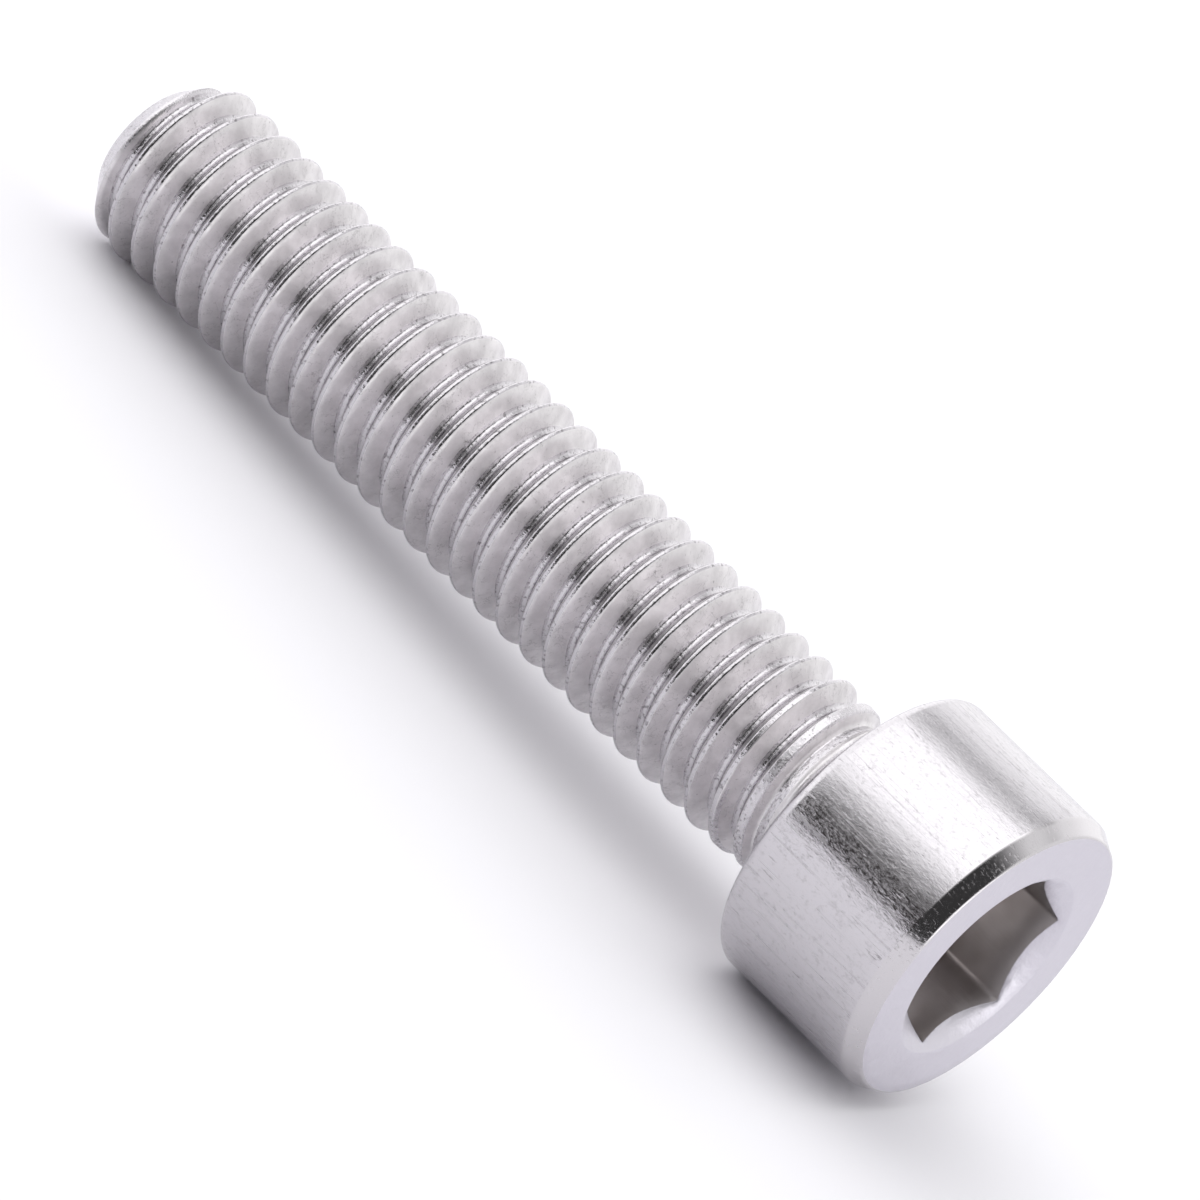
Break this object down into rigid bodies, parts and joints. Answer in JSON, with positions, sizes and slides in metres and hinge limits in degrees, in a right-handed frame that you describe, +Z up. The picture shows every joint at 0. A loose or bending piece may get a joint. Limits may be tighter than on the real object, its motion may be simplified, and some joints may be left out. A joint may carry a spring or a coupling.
{
  "type": "hex socket cap screw",
  "caption": "Socket head cap screw in stainless steel, with a plain cylindrical head, a hexagon socket and a coarse thread that runs up to a short neck.",
  "frame": {"origin": "centre of the bounding box on the table that the screw lies on", "axes": "+X along the table from the tip towards the head, +Z up; the screw's own axis rises 3.9 degrees from +X, because the head's rim and a crest near the tip both touch the table"},
  "size_m": [0.0362, 0.0098, 0.0101],
  "materials": {
    "stainless_steel": "satin stainless steel: fine lengthwise scratches on the turned head, burnished rolled flanks and a bright seam along the thread's crest"
  },
  "bodies": {
    "root": {"cap_screw": "stainless_steel"}
  },
  "joints": []
}
